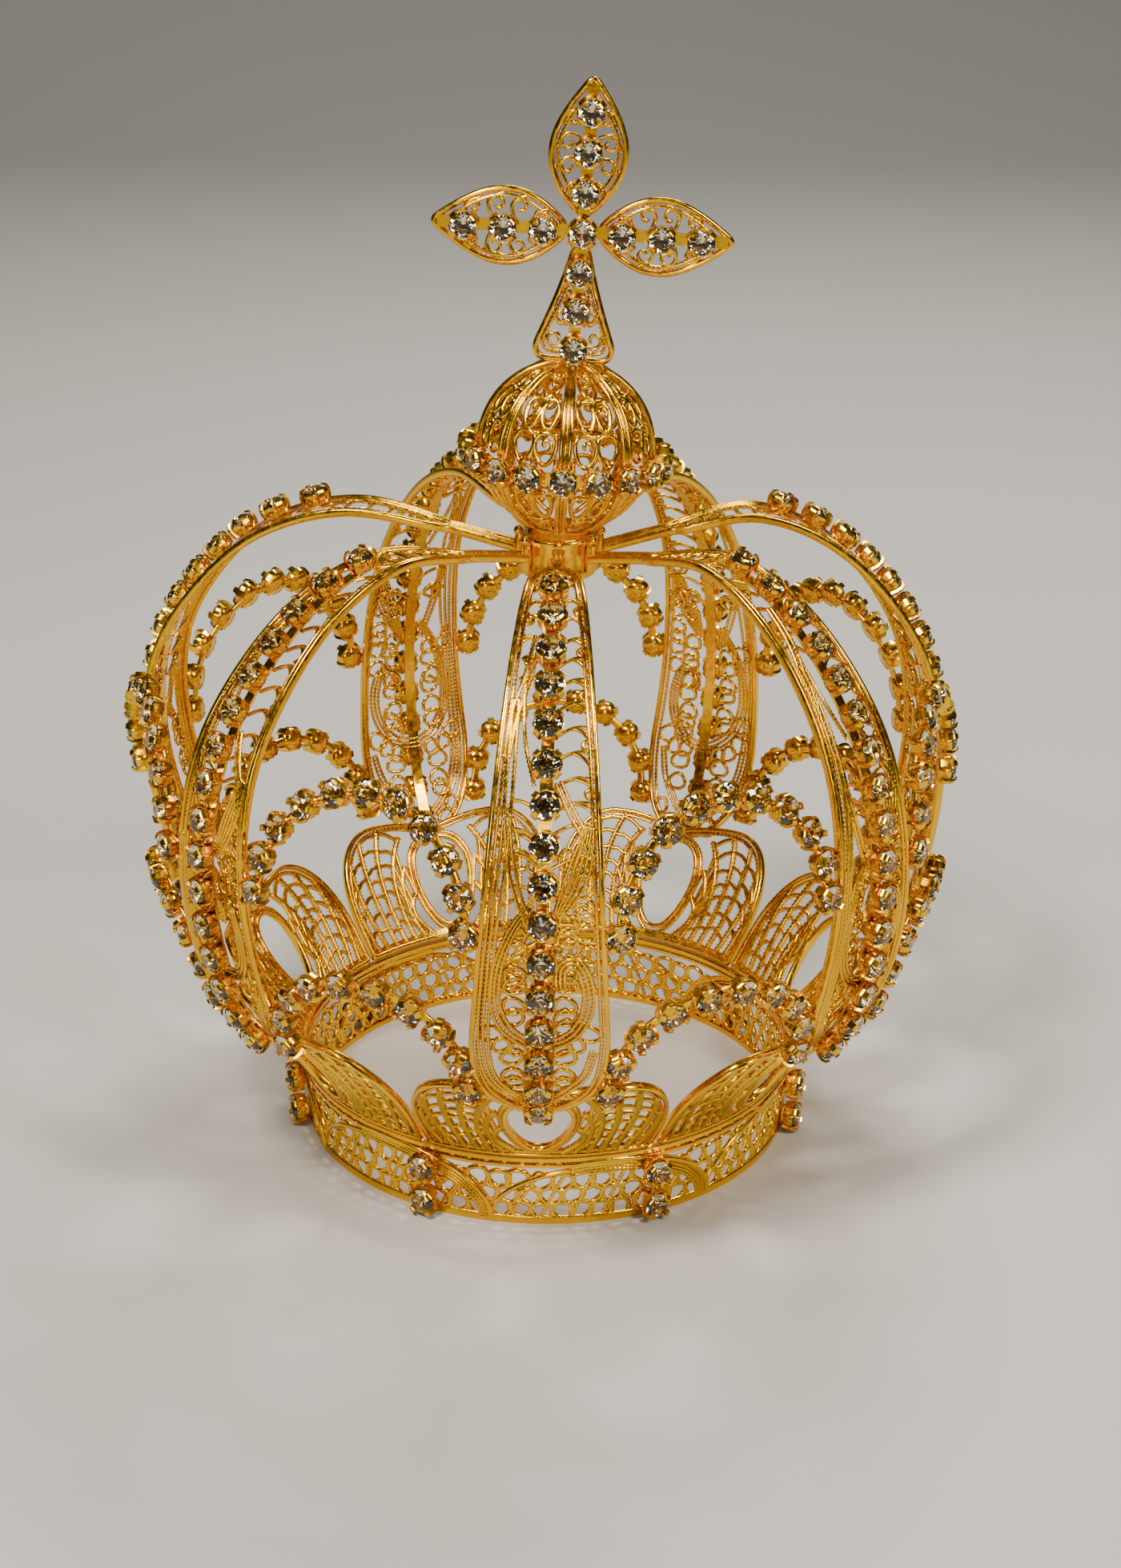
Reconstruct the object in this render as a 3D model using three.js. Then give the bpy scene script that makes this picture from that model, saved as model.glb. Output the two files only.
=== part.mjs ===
import * as THREE from "three";

// Driving dimensions in millimetres, heights from the underside of the base band.
const sectors = 7;
const swayPerMillimetre = 0.02;

const bandHeight = 12.6;
const bandFootRadius = 40.8;
const bandRimRadius = 41.6;
const bandWall = 1.4;
const bandLip = 0.3;
const bandLipHeight = 1.2;
const bandFacets = 42;

const leafTopRadius = 54.7;
const leafTopHeight = 32;
const leafThickness = 0.9;
const leafHalfAngle = THREE.MathUtils.degToRad(24.6);
const leafRootGap = 0.6;
const lobeCentre = 0.55;
const leafNotch = 0.9;
const leafCorner = 0.28;
const leafOpeningHalf = 0.3;
const leafOpeningSill = 0.16;
const leafOpeningHead = 0.8;

const neckRadius = 6.2;
const neckWall = 1.1;
const neckFoot = 97;
const neckHead = 103.6;
const neckFacets = 14;

const archThickness = 1.1;
const archRail = 1.4;
const archBar = 1.3;
const archWindows = 7;
const archSolidEnd = 0.27;
const archSolidRows = 4;

const bulgeRadius = 63.3;
const bulgeHeight = 59.3;
const bulgeFallAbove = 0.0105;
const bulgeFallBelow = 0.0065;
const fullLeft = 8;
const fullRight = 2;
const fullAzimuth = THREE.MathUtils.degToRad(100);

const cupWidth = 3.9;
const cupHeight = 3.5;
const stripWidth = 1.5;
const stripHeight = 0.8;
const touchGap = 0.35;
const cupPitch = 5.8;

const archStones = 16;
const archStonesStart = 0.245;
const archStonesEnd = 0.985;

const upperHoop = { stones: 11, foot: 62, rise: 18, reach: 11.35, inset: 0.5 };
const lowerHoop = { stones: 10, foot: 34.6, rise: 15.7, reach: 10.7, inset: 1 };

const bandStoneLow = 2.7;
const bandStonePitch = 6.2;

const finialFoot = 104;
const finialLean = THREE.MathUtils.degToRad(4);
const orbRadius = 13.7;
const orbThickness = 1;
const orbRibs = 8;
const orbRibHalf = THREE.MathUtils.degToRad(4.5);
const orbStones = 18;
const orbStoneDrop = 1.5;

const crossCentre = 47.9;
const armLength = 23;
const armHalfWidth = 6;
const armRoot = 2.6;
const armRootHalf = 0.9;
const footLength = 20;
const footHalfWidth = 6.6;
const armThickness = 1.2;
const armStones = 3;

const gilt = new THREE.MeshStandardMaterial({ color: 0xd79a2b, roughness: 0.25, metalness: 1, flatShading: true });
const crystal = new THREE.MeshStandardMaterial({ color: 0xe9edf0, roughness: 0.05, metalness: 0, flatShading: true });

const { lerp, smoothstep } = THREE.MathUtils;

// A point at an azimuth round the axis, counted from the front, where the front is -Y.
function ringPoint(azimuth, radius, height) {
  return new THREE.Vector3(radius * Math.sin(azimuth), -radius * Math.cos(azimuth), height);
}

// A closed mesh from shared corners, with its faces turned outwards by the sign of its volume.
function closedMesh(corners, triangles) {
  let volume = 0;
  const cross = new THREE.Vector3();
  for (const [a, b, c] of triangles) {
    volume += corners[a].dot(cross.crossVectors(corners[b], corners[c]));
  }
  const outward = volume > 0 ? triangles : triangles.map(([a, b, c]) => [a, c, b]);
  const geometry = new THREE.BufferGeometry();
  geometry.setFromPoints(corners);
  geometry.setIndex(outward.flat());
  geometry.computeVertexNormals();
  return geometry;
}

// A plate over a grid of cells: a solid cell has two faces, and an edge beside an open cell has a wall.
// place(row, column, side) gives a corner on the outer side, +1, or on the inner side, -1.
function cellPlate({ rows, columns, isSolid, place, wrap = false }) {
  const corners = [];
  const triangles = [];
  const known = new Map();
  const around = wrap ? columns : columns + 1;
  const solid = (row, column) => {
    const inside = wrap || (column >= 0 && column < columns);
    return row >= 0 && row < rows && inside && isSolid(row, (column + columns) % columns);
  };
  const corner = (row, column, side) => {
    const key = `${row},${column % around},${side}`;
    if (!known.has(key)) {
      known.set(key, corners.length);
      corners.push(place(row, column % around, side));
    }
    return known.get(key);
  };
  const quad = (a, b, c, d) => triangles.push([a, b, c], [a, c, d]);
  const wall = ([rowA, columnA], [rowB, columnB]) => quad(
    corner(rowA, columnA, 1),
    corner(rowA, columnA, -1),
    corner(rowB, columnB, -1),
    corner(rowB, columnB, 1),
  );
  for (let row = 0; row < rows; row += 1) {
    for (let column = 0; column < columns; column += 1) {
      if (!solid(row, column)) {
        continue;
      }
      const loop = [[row, column], [row, column + 1], [row + 1, column + 1], [row + 1, column]];
      quad(...loop.map(([i, j]) => corner(i, j, 1)));
      quad(...loop.map(([i, j]) => corner(i, j, -1)).reverse());
      const beyond = [[row - 1, column], [row, column + 1], [row + 1, column], [row, column - 1]];
      beyond.forEach(([i, j], edge) => {
        if (!solid(i, j)) {
          wall(loop[edge], loop[(edge + 1) % 4]);
        }
      });
    }
  }
  return closedMesh(corners, triangles);
}

// A cup chain: a flat strip that swells into a cup at every stone, carried along a path.
// at(step) gives the strip's underside and the outward direction, with stones at whole steps.
function cupChain(stones, at, { closed = false, endReach = 0.42 } = {}) {
  const corners = [];
  const triangles = [];
  const reach = 0.01;
  const ring = (step, width, height) => {
    const { base, out } = at(step);
    const along = at(step + reach).base.sub(at(step - reach).base).normalize();
    const aside = new THREE.Vector3().crossVectors(along, out).normalize();
    const offsets = [[-1, 0], [1, 0], [1, 1], [-1, 1]];
    for (const [side, lift] of offsets) {
      const corner = base.clone().addScaledVector(aside, side * width / 2);
      corners.push(corner.addScaledVector(out, lift * height));
    }
  };
  for (let stone = 0; stone < stones; stone += 1) {
    ring(stone === 0 && !closed ? -endReach : stone - 0.5, stripWidth, stripHeight);
    ring(stone, cupWidth, cupHeight);
  }
  if (!closed) {
    ring(stones - 1 + endReach, stripWidth, stripHeight);
  }
  const rings = corners.length / 4;
  for (let near = 0; near < (closed ? rings : rings - 1); near += 1) {
    const far = (near + 1) % rings;
    for (let edge = 0; edge < 4; edge += 1) {
      const next = (edge + 1) % 4;
      triangles.push([near * 4 + edge, near * 4 + next, far * 4 + next]);
      triangles.push([near * 4 + edge, far * 4 + next, far * 4 + edge]);
    }
  }
  if (!closed) {
    const last = (rings - 1) * 4;
    triangles.push([0, 2, 1], [0, 3, 2], [last, last + 1, last + 2], [last, last + 2, last + 3]);
  }
  return closedMesh(corners, triangles);
}

// The crown leans a little to its right above the band, as it was soldered up by hand.
function sway(geometry) {
  const corners = geometry.getAttribute("position");
  for (let index = 0; index < corners.count; index += 1) {
    const lift = Math.max(0, corners.getZ(index) - bandHeight);
    corners.setX(index, corners.getX(index) + swayPerMillimetre * lift);
  }
  geometry.computeVertexNormals();
  return geometry;
}

// A ring turned from a closed profile of [radius, height] corners.
function turnedRing(profile, facets) {
  const loop = [...profile, profile[0]].map(([radius, height]) => new THREE.Vector2(radius, height));
  return new THREE.LatheGeometry(loop, facets).rotateX(Math.PI / 2);
}

function bandRing() {
  const foot = bandFootRadius + bandWall / 2;
  const rim = bandRimRadius + bandWall / 2;
  return turnedRing([
    [foot - bandWall, 0],
    [foot + bandLip, 0],
    [foot + bandLip, bandLipHeight],
    [rim, bandHeight - bandLipHeight],
    [rim + bandLip, bandHeight],
    [rim - bandWall, bandHeight],
  ], bandFacets);
}

// Two stones, one over the other, on the outer face of the band.
function bandStonePair(azimuth) {
  const climb = (bandRimRadius - bandFootRadius) / bandHeight;
  const out = ringPoint(azimuth, 1, -climb).normalize();
  return cupChain(2, (step) => {
    const height = bandStoneLow + step * bandStonePitch;
    const radius = bandFootRadius + climb * height + bandWall / 2 + bandLip + touchGap;
    return { base: ringPoint(azimuth, radius, height), out };
  }, { endReach: 0.4 });
}

// A leaf's top edge as a share of its height: two lobes, a shallow notch between, round shoulders.
function leafEdge(across) {
  const away = Math.abs(across);
  if (away < lobeCentre) {
    return lerp(leafNotch, 1, away / lobeCentre);
  }
  const fall = (away - lobeCentre) / (1 - lobeCentre);
  return lerp(leafCorner, 1, Math.sqrt(1 - fall * fall));
}

function leafPanel(azimuth) {
  const acrossLines = [-1, -0.88, -lobeCentre, -leafOpeningHalf, 0, leafOpeningHalf, lobeCentre, 0.88, 1];
  const heightLines = [0, leafOpeningSill, 0.5, leafOpeningHead, 1];
  const openingWaist = [1, 0.45, 1, 0.5, 1];
  const flare = new THREE.Vector2(leafTopRadius - bandRimRadius, leafTopHeight - bandHeight).normalize();
  return sway(cellPlate({
    rows: heightLines.length - 1,
    columns: acrossLines.length - 1,
    isSolid: (row, column) => !((row === 1 || row === 2) && (column === 3 || column === 4)),
    place: (row, column, side) => {
      const edge = Math.abs(acrossLines[column]) === leafOpeningHalf;
      const across = acrossLines[column] * (edge ? openingWaist[row] : 1);
      const share = heightLines[row] * leafEdge(across);
      const radius = lerp(bandRimRadius, leafTopRadius, share) + side * flare.y * leafThickness / 2;
      const height = lerp(bandHeight + leafRootGap, leafTopHeight, share) - side * flare.x * leafThickness / 2;
      return ringPoint(azimuth + across * leafHalfAngle, radius, height);
    },
  }));
}

// The arch's line from the neck, over its shoulder and the bulge, to its foot on the leaf: [radius, height].
const archLine = new THREE.CatmullRomCurve3([
  [7.2, 100.7],
  [18.7, 103],
  [31.3, 105],
  [45.2, 97.9],
  [58.2, 81.2],
  [bulgeRadius, bulgeHeight],
  [60.4, 38.5],
  [55.6, 30.2],
].map(([radius, height]) => new THREE.Vector3(radius, 0, height)));

// The crown's shoulder is bent fuller on its left side, and a little on its right: the extra radius.
function fullness(azimuth, radius, height) {
  const left = Math.max(0, Math.cos(azimuth + fullAzimuth)) ** 2;
  const right = Math.max(0, Math.cos(azimuth - fullAzimuth)) ** 2;
  return (fullLeft * left + fullRight * right) * smoothstep(radius, 15, 45) * smoothstep(height, 28, 85);
}

// A point on the arch's line, with the direction that faces away from the crown's inside.
function archStation(share, azimuth) {
  const inside = THREE.MathUtils.clamp(share, 0, 1);
  const point = archLine.getPointAt(inside);
  const along = archLine.getTangentAt(inside);
  point.addScaledVector(along, (share - inside) * archLine.getLength());
  const ahead = point.clone().addScaledVector(along, 0.1);
  point.x += fullness(azimuth, point.x, point.z);
  ahead.x += fullness(azimuth, ahead.x, ahead.z);
  along.copy(ahead).sub(point).normalize();
  return { point, out: new THREE.Vector3(-along.z, 0, along.x) };
}

// The arch's width grows quickly below the neck, then slowly down to its belly, and closes in a round end.
const archNeckWidth = 2.3;
const archBellyWidth = 20.2;
const archBelly = 0.86;
const archFlareStart = 0.1;
function archHalfWidth(share) {
  if (share < archBelly) {
    const flare = Math.max(0, share - archFlareStart) / (archBelly - archFlareStart);
    return lerp(archNeckWidth, archBellyWidth, flare ** 0.6) / 2;
  }
  const fall = (share - archBelly) / (1.015 - archBelly);
  return archBellyWidth / 2 * Math.sqrt(1 - fall ** 2.4);
}

function archStrap(azimuth) {
  const barShare = archBar / archLine.getLength();
  const windowShare = (1 - archSolidEnd) / archWindows;
  const stations = [];
  for (let row = 0; row < archSolidRows; row += 1) {
    stations.push(archSolidEnd * row / archSolidRows);
  }
  for (let opening = 0; opening < archWindows; opening += 1) {
    stations.push(archSolidEnd + windowShare * opening);
    stations.push(archSolidEnd + windowShare * (opening + 1) - barShare);
  }
  stations.push(1);
  const aside = ringPoint(azimuth + Math.PI / 2, 1, 0);
  return sway(cellPlate({
    rows: stations.length - 1,
    columns: 3,
    isSolid: (row, column) => column !== 1 || row < archSolidRows || (row - archSolidRows) % 2 === 1,
    place: (row, column, side) => {
      const { point, out } = archStation(stations[row], azimuth);
      const half = archHalfWidth(stations[row]);
      const inner = Math.max(half - archRail, half * 0.3);
      const across = [-half, -inner, inner, half][column];
      point.addScaledVector(out, side * archThickness / 2);
      return ringPoint(azimuth, point.x, point.z).addScaledVector(aside, across);
    },
  }));
}

function archStoneChain(azimuth) {
  return sway(cupChain(archStones, (step) => {
    const share = lerp(archStonesStart, archStonesEnd, step / (archStones - 1));
    const { point, out } = archStation(share, azimuth);
    point.addScaledVector(out, archThickness / 2 + touchGap);
    return {
      base: ringPoint(azimuth, point.x, point.z),
      out: ringPoint(azimuth, out.x, out.z).normalize(),
    };
  }));
}

// The radius of the bulge that the arches and hoops share, at a height and azimuth.
function bulgeAt(height, azimuth) {
  const rise = height - bulgeHeight;
  const radius = bulgeRadius - (rise > 0 ? bulgeFallAbove : bulgeFallBelow) * rise * rise;
  return radius + fullness(azimuth, radius, height);
}

// A half-oval cup chain on the bulge, with its ends down beside the two neighbouring arches,
// each end one reach from the middle line of its arch.
function hoopChain(azimuth, { stones, foot, rise, reach, inset }) {
  const halfSector = Math.PI / sectors;
  return sway(cupChain(stones, (step) => {
    const turn = Math.PI * step / (stones - 1);
    const height = foot + rise * Math.sin(turn);
    const archAzimuth = azimuth - Math.sign(Math.cos(turn)) * halfSector;
    const halfAngle = halfSector - reach / bulgeAt(foot, archAzimuth);
    const place = azimuth - halfAngle * Math.cos(turn);
    const slope = bulgeAt(height + 0.5, place) - bulgeAt(height - 0.5, place);
    return {
      base: ringPoint(place, bulgeAt(height, place) - inset, height),
      out: ringPoint(place, 1, -slope).normalize(),
    };
  }));
}

function neckCollar() {
  return sway(turnedRing([
    [neckRadius - neckWall, neckFoot],
    [neckRadius, neckFoot],
    [neckRadius, neckHead],
    [neckRadius - neckWall, neckHead],
  ], neckFacets));
}

// The ball is a cage of upright ribs with a ring at each end and one round its waist.
function orbCage() {
  const latitudes = [-78, -58, -36, -14, 2, 32, 62, 80].map(THREE.MathUtils.degToRad);
  const ringRows = [0, 3, 6];
  return cellPlate({
    rows: latitudes.length - 1,
    columns: orbRibs * 2,
    wrap: true,
    isSolid: (row, column) => column % 2 === 0 || ringRows.includes(row),
    place: (row, column, side) => {
      const rib = Math.floor(column / 2) * 2 * Math.PI / orbRibs;
      const azimuth = rib + (column % 2 === 0 ? -orbRibHalf : orbRibHalf);
      const radius = side > 0 ? orbRadius : orbRadius - orbThickness;
      const height = orbRadius + radius * Math.sin(latitudes[row]);
      return ringPoint(azimuth, radius * Math.cos(latitudes[row]), height);
    },
  });
}

function orbStoneRing() {
  return cupChain(orbStones, (step) => {
    const azimuth = 2 * Math.PI * step / orbStones;
    const height = orbRadius - orbStoneDrop;
    const base = ringPoint(azimuth, orbRadius + 2 * touchGap, height);
    return { base, out: ringPoint(azimuth, 1, 0) };
  }, { closed: true });
}

// An arm's outline along +Y from the cross's centre: a pointed leaf.
function leafArm() {
  const outline = new THREE.Shape();
  outline.moveTo(-armRootHalf, armRoot);
  outline.lineTo(armRootHalf, armRoot);
  outline.bezierCurveTo(armHalfWidth * 1.3, armLength * 0.42, armHalfWidth * 1.3, armLength * 0.66, 0, armLength);
  outline.bezierCurveTo(
    -armHalfWidth * 1.3, armLength * 0.66, -armHalfWidth * 1.3, armLength * 0.42, -armRootHalf, armRoot,
  );
  return outline;
}

// The foot's outline along +Y from the cross's centre: a bell with round lower corners.
function bellArm() {
  const outline = new THREE.Shape();
  const round = footLength - 3;
  outline.moveTo(-armRootHalf, armRoot);
  outline.lineTo(armRootHalf, armRoot);
  outline.quadraticCurveTo(2.4, footLength * 0.55, footHalfWidth, round);
  outline.quadraticCurveTo(footHalfWidth, footLength, footHalfWidth * 0.6, footLength);
  outline.lineTo(-footHalfWidth * 0.6, footLength);
  outline.quadraticCurveTo(-footHalfWidth, footLength, -footHalfWidth, round);
  outline.quadraticCurveTo(-2.4, footLength * 0.55, -armRootHalf, armRoot);
  return outline;
}

function crossArm(outline) {
  const arm = new THREE.ExtrudeGeometry(outline, { depth: armThickness, bevelEnabled: false, curveSegments: 7 });
  return arm.translate(0, 0, -armThickness / 2).rotateX(Math.PI / 2);
}

// Stones on the front of the cross, from a first place along a direction in its plane.
function crossStoneRow(stones, start, direction) {
  const front = new THREE.Vector3(0, -1, 0);
  const face = armThickness / 2 + touchGap;
  return cupChain(stones, (step) => ({
    base: start.clone().addScaledVector(direction, step * cupPitch).addScaledVector(front, face),
    out: front,
  }));
}

function piece(name, geometry, material) {
  const mesh = new THREE.Mesh(geometry, material);
  mesh.name = name;
  return mesh;
}

const crown = new THREE.Group();
crown.add(piece("base_band", bandRing(), gilt));
crown.add(piece("neck_collar", neckCollar(), gilt));
for (let sector = 0; sector < sectors; sector += 1) {
  const number = sector + 1;
  const azimuth = 2 * Math.PI * sector / sectors;
  const between = azimuth + Math.PI / sectors;
  crown.add(piece(`leaf_${number}`, leafPanel(azimuth), gilt));
  crown.add(piece(`arch_${number}`, archStrap(azimuth), gilt));
  crown.add(piece(`arch_stones_${number}`, archStoneChain(azimuth), crystal));
  crown.add(piece(`upper_hoop_${number}`, hoopChain(between, upperHoop), crystal));
  crown.add(piece(`lower_hoop_${number}`, hoopChain(between, lowerHoop), crystal));
  crown.add(piece(`band_stones_${number}`, bandStonePair(between), crystal));
}

const finial = new THREE.Group();
finial.position.set(swayPerMillimetre * (finialFoot - bandHeight), 0, finialFoot);
finial.rotation.y = finialLean;
finial.add(piece("orb", orbCage(), gilt));
finial.add(piece("orb_stone_ring", orbStoneRing(), crystal));

const cross = new THREE.Group();
cross.position.z = crossCentre;
const armTurns = { top: 0, right: Math.PI / 2, left: -Math.PI / 2 };
for (const [side, turn] of Object.entries(armTurns)) {
  const arm = piece(`cross_arm_${side}`, crossArm(leafArm()), gilt);
  arm.rotation.y = turn;
  cross.add(arm);
}
const foot = piece("cross_arm_foot", crossArm(bellArm()), gilt);
foot.rotation.y = Math.PI;
cross.add(foot);
const up = new THREE.Vector3(0, 0, 1);
const right = new THREE.Vector3(1, 0, 0);
const barStart = right.clone().multiplyScalar(-armStones * cupPitch);
cross.add(piece("cross_stones_bar", crossStoneRow(2 * armStones + 1, barStart, right), crystal));
cross.add(piece("cross_stones_top", crossStoneRow(armStones, up.clone().multiplyScalar(cupPitch), up), crystal));
const down = up.clone().negate();
cross.add(piece("cross_stones_foot", crossStoneRow(armStones, down.clone().multiplyScalar(cupPitch), down), crystal));
finial.add(cross);
crown.add(finial);

export default crown;
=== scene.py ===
import math
import bpy
import numpy as np
from mathutils import Matrix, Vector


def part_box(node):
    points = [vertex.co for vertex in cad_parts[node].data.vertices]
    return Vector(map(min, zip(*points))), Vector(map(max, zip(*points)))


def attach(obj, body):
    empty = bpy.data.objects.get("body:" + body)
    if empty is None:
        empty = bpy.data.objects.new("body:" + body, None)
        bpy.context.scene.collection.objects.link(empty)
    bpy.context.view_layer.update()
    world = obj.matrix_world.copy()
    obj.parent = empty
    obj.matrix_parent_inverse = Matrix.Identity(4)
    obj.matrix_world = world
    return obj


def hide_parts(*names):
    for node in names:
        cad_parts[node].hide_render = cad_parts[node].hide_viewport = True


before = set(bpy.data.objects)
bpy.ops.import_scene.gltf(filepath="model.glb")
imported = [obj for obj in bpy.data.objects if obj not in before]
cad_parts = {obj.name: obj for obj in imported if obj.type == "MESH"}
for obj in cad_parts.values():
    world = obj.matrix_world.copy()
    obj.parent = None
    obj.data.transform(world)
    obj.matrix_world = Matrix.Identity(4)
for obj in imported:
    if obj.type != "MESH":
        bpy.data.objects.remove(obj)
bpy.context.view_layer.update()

mm = 0.001

# sizes in millimetres that every piece shares, the band's own ones read from the frame
bandLow, bandHigh = (np.array(corner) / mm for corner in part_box("base_band"))
crown = {
    "sectors": 7,
    "sway": 0.02,                       # lean of the upper part, per millimetre of height
    "bandHeight": float(bandHigh[2] - bandLow[2]),
    "footRadius": 40.8,
    "rimRadius": 41.6,
    "fullLeft": 8.0,                    # the shoulder is bent out further on the left side
    "fullRight": 2.0,
    "fullAzimuth": math.radians(100),
}
step = 2 * math.pi / crown["sectors"]
rng = np.random.default_rng(7)
anyTurn = 6.28                          # random starts go once round


# vectors scaled to length one
def unit(v):
    return v / np.maximum(np.linalg.norm(v, axis=-1, keepdims=True), 1e-9)


# places round the axis: radius times the sine and minus the cosine of the azimuth, at a height
def spoke(azimuth, radius=1.0, height=0.0):
    return np.stack([radius * np.sin(azimuth), -radius * np.cos(azimuth), 0 * azimuth + height], -1)


# places round a small form's own axis: radius times the cosine and the sine of the turn, at a height
def circle(turn, radius=1.0, height=0.0):
    return np.stack([radius * np.cos(turn), radius * np.sin(turn), 0 * turn + height], -1)


# a smooth line through a few points: cubic spans whose end slopes weigh neighbours by root distance
def flow(points, perSpan=24):
    pts = np.asarray(points, float)
    ext = np.vstack([2 * pts[0] - pts[1], pts, 2 * pts[-1] - pts[-2]])
    gap = np.sqrt(np.linalg.norm(np.diff(ext, axis=0), axis=1))[:, None]
    p0, p1, p2, p3 = ext[:-3], ext[1:-2], ext[2:-1], ext[3:]
    d0, d1, d2 = gap[:-2], gap[1:-1], gap[2:]
    t1 = ((p1 - p0) / d0 - (p2 - p0) / (d0 + d1) + (p2 - p1) / d1) * d1
    t2 = ((p2 - p1) / d1 - (p3 - p1) / (d1 + d2) + (p3 - p2) / d2) * d1
    u = np.linspace(0, 1, perSpan, endpoint=False)[None, :, None]
    a, b, c, d = (v[:, None, :] for v in (p1, t1, p2, t2))
    curve = (2 * u**3 - 3 * u**2 + 1) * a + (u**3 - 2 * u**2 + u) * b
    curve = curve + (3 * u**2 - 2 * u**3) * c + (u**3 - u**2) * d
    return np.vstack([curve.reshape(-1, pts.shape[1]), pts[-1:]])


# bows from start to end: a parabola that leans to the bend, for one set of points or many
def bow(start, bend, end, count=10):
    u = np.linspace(0, 1, count)[:, None]
    start, bend, end = (v[..., None, :] for v in (start, bend, end))
    return (1 - u)**2 * start + 2 * u * (1 - u) * bend + u**2 * end


# running length along a line
def runLength(path):
    return np.concatenate([[0], np.cumsum(np.linalg.norm(np.diff(path, axis=0), axis=1))])


# the same line with points at even spacing
def even(path, spacing):
    length = runLength(path)
    at = np.linspace(0, length[-1], max(3, int(round(length[-1] / spacing)) + 1))
    return np.stack([np.interp(at, length, path[:, k]) for k in range(path.shape[1])], 1)


# a flat line moved sideways: each point plus the left normal times the distance
def beside(path, distance):
    tangent = unit(np.gradient(path, axis=0))
    return path + np.stack([-tangent[:, 1], tangent[:, 0]], 1) * np.reshape(distance, (-1, 1))


# round wire section with a number of sides
def roundSection(radius, sides):
    turn = 2 * np.pi * (np.arange(sides) + 0.5) / sides
    return circle(turn, radius)[:, :2]


# flat wire section, width across and depth along the surface normal
def flatSection(width, depth):
    return np.array([[-1, -1], [1, -1], [1, 1], [-1, 1]]) * [width / 2, depth / 2]


# flat wire with rounded edges: eight points of a superellipse
def softSection(width, depth):
    disc = roundSection(1.0, 8)
    return np.sign(disc) * np.sqrt(np.abs(disc)) * [width / 2, depth / 2]


# wires: path point + (tangent x up) * section x + up * section y, for many paths of one length at once
def sweep(paths, ups, section, girth=1.0, closed=False):
    m, n, _ = paths.shape
    k = len(section)
    if closed:
        tangent = unit(np.roll(paths, -1, 1) - np.roll(paths, 1, 1))
    else:
        tangent = unit(np.gradient(paths, axis=1))
    side = unit(np.cross(tangent, ups))
    lift = np.cross(side, tangent)
    girth = np.broadcast_to(np.asarray(girth, float), (m, n))[..., None, None]
    sx, sy = section[None, None, :, 0, None], section[None, None, :, 1, None]
    points = paths[:, :, None] + girth * (side[:, :, None] * sx + lift[:, :, None] * sy)
    index = np.arange(m * n * k).reshape(m, n, k)
    near = index if closed else index[:, :-1]
    far = np.roll(index, -1, 1) if closed else index[:, 1:]
    quads = np.stack([near, far, np.roll(far, -1, 2), np.roll(near, -1, 2)], -1).reshape(-1, 4)
    faces = [quads]
    if not closed:
        faces += [index[:, 0], index[:, -1, ::-1]]
    return points.reshape(-1, 3), faces


# faces of a grid that closes both ways: a point, the next in its row, and the same two of the next row
def ringFaces(rows, columns):
    index = np.arange(rows * columns).reshape(rows, columns)
    far = np.roll(index, -1, 0)
    return np.stack([index, np.roll(index, -1, 1), np.roll(far, -1, 1), far], -1).reshape(-1, 4)


# moulded shape: one small form set at many places, place + form x side + form y along + form z out
def stamp(form, faces, places, sides, alongs, outs):
    points = places[:, None] + form[None, :, 0, None] * sides[:, None]
    points = points + form[None, :, 1, None] * alongs[:, None] + form[None, :, 2, None] * outs[:, None]
    shift = (np.arange(len(places)) * len(form))[:, None, None]
    return points.reshape(-1, 3), [(f[None] + shift).reshape(-1, f.shape[1]) for f in faces]


# turn about the crown's axis by an azimuth, then lean: x grows with the height above the band
def setRound(parts, azimuth):
    c, s = math.cos(azimuth), math.sin(azimuth)
    turned = []
    for points, faces in parts:
        spun = points @ np.array([[c, s, 0], [-s, c, 0], [0, 0, 1]])
        spun[:, 0] += crown["sway"] * np.maximum(0, spun[:, 2] - crown["bandHeight"])
        turned.append((spun, faces))
    return turned


# finished mesh: all parts stacked into whole arrays, millimetres to metres
def putMesh(name, parts, material, smooth=True):
    points, loops, starts, count, corner = [], [], [], 0, 0
    for verts, faces in parts:
        points.append(verts)
        for face in faces:
            loops.append((face + count).ravel())
            starts.append(corner + np.arange(len(face)) * face.shape[1])
            corner += face.size
        count += len(verts)
    mesh = bpy.data.meshes.new(name)
    mesh.vertices.add(count)
    mesh.vertices.foreach_set("co", (np.vstack(points) * mm).astype(np.float32).ravel())
    mesh.loops.add(corner)
    mesh.loops.foreach_set("vertex_index", np.concatenate(loops).astype(np.int32))
    start = np.concatenate(starts).astype(np.int32)
    mesh.polygons.add(len(start))
    mesh.polygons.foreach_set("loop_start", start)
    mesh.polygons.foreach_set("use_smooth", np.full(len(start), smooth))
    mesh.update(calc_edges=True)
    if smooth:
        mesh.set_sharp_from_angle(angle=math.radians(80))      # corners of flat wire stay crisp
    mesh.materials.append(material)
    piece = bpy.data.objects.new(name, mesh)
    bpy.context.scene.collection.objects.link(piece)
    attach(piece, "root")
    return piece


# shader node with its values, each set on the socket of that name or else on the node itself
def shaderNode(material, kind, **values):
    node = material.node_tree.nodes.new(kind)
    for key, value in values.items():
        if key in node.inputs:
            node.inputs[key].default_value = value
        else:
            setattr(node, key, value)
    return node


# new material and its shader, with plain values on the shader's sockets
def newFinish(name, values):
    material = bpy.data.materials.new(name)
    material.use_nodes = True
    shader = material.node_tree.nodes["Principled BSDF"]
    for socket, value in values.items():
        shader.inputs[socket].default_value = value
    return material, shader


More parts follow.
